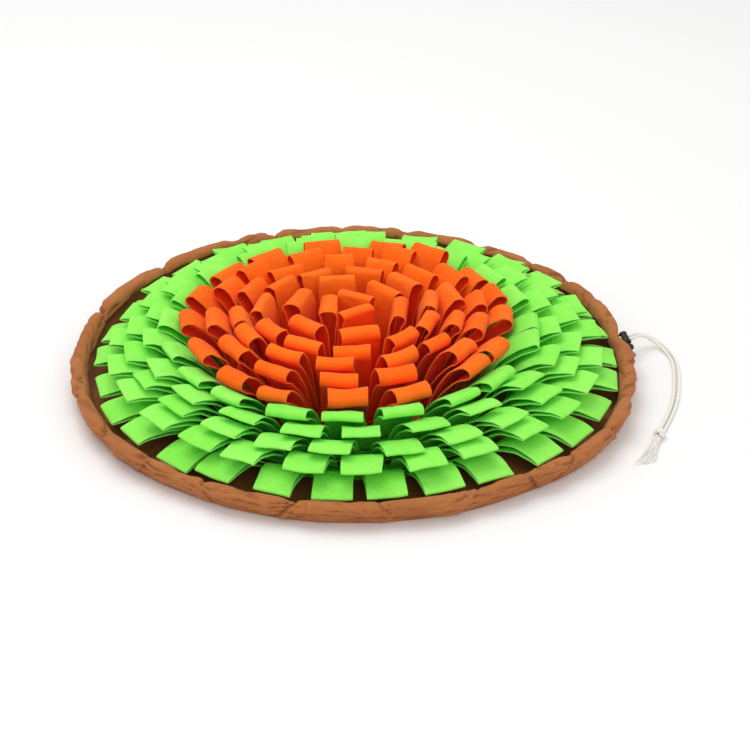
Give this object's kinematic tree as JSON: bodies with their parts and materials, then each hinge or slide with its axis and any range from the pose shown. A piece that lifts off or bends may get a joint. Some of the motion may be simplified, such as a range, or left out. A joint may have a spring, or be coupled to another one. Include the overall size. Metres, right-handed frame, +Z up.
{
  "type": "snuffle mat",
  "caption": "Round snuffle mat: folded felt loops in green and orange rings on a brown cloth base with a low gathered drawcord rim, cord lock and free cotton cord.",
  "frame": {"origin": "on the ground under the middle of the mat's rim", "axes": "+Z up; +X to the side where the drawcord comes out; +Y away from the camera in the picture"},
  "size_m": [0.5445, 0.4946, 0.0786],
  "materials": {
    "base_cloth": "matt brown woven polyester cloth, gathered and creased at the rim",
    "green_felt": "matt bright green craft felt, cut edges a little lighter",
    "orange_felt": "matt bright orange craft felt, cut edges a little lighter",
    "cotton_cord": "off-white braided cotton cord with a frayed end",
    "lock_plastic": "black moulded plastic, satin"
  },
  "bodies": {
    "mat": {"base_cloth": "base_cloth", "green_ring_1": "green_felt", "green_ring_2": "green_felt", "green_ring_3": "green_felt", "green_ring_4": "green_felt", "green_ring_5": "green_felt", "orange_ring_1": "orange_felt", "orange_ring_2": "orange_felt", "orange_ring_3": "orange_felt", "orange_ring_4": "orange_felt", "orange_ring_5": "orange_felt", "orange_ring_6": "orange_felt", "cord_lock": "lock_plastic", "drawcord_left": "cotton_cord", "drawcord_right": "cotton_cord", "cord_neck_left": "cotton_cord", "cord_neck_right": "cotton_cord", "cord_knot": "cotton_cord"},
    "lock_button": {"cord_lock_button": "lock_plastic"}
  },
  "joints": [
    {"name": "button_press", "type": "slide", "parent": "mat", "child": "lock_button", "axis": [-0.3505, 0.8512, 0.3906], "range_m": [0, 0.003], "stiffness_N_per_m": 500}
  ]
}
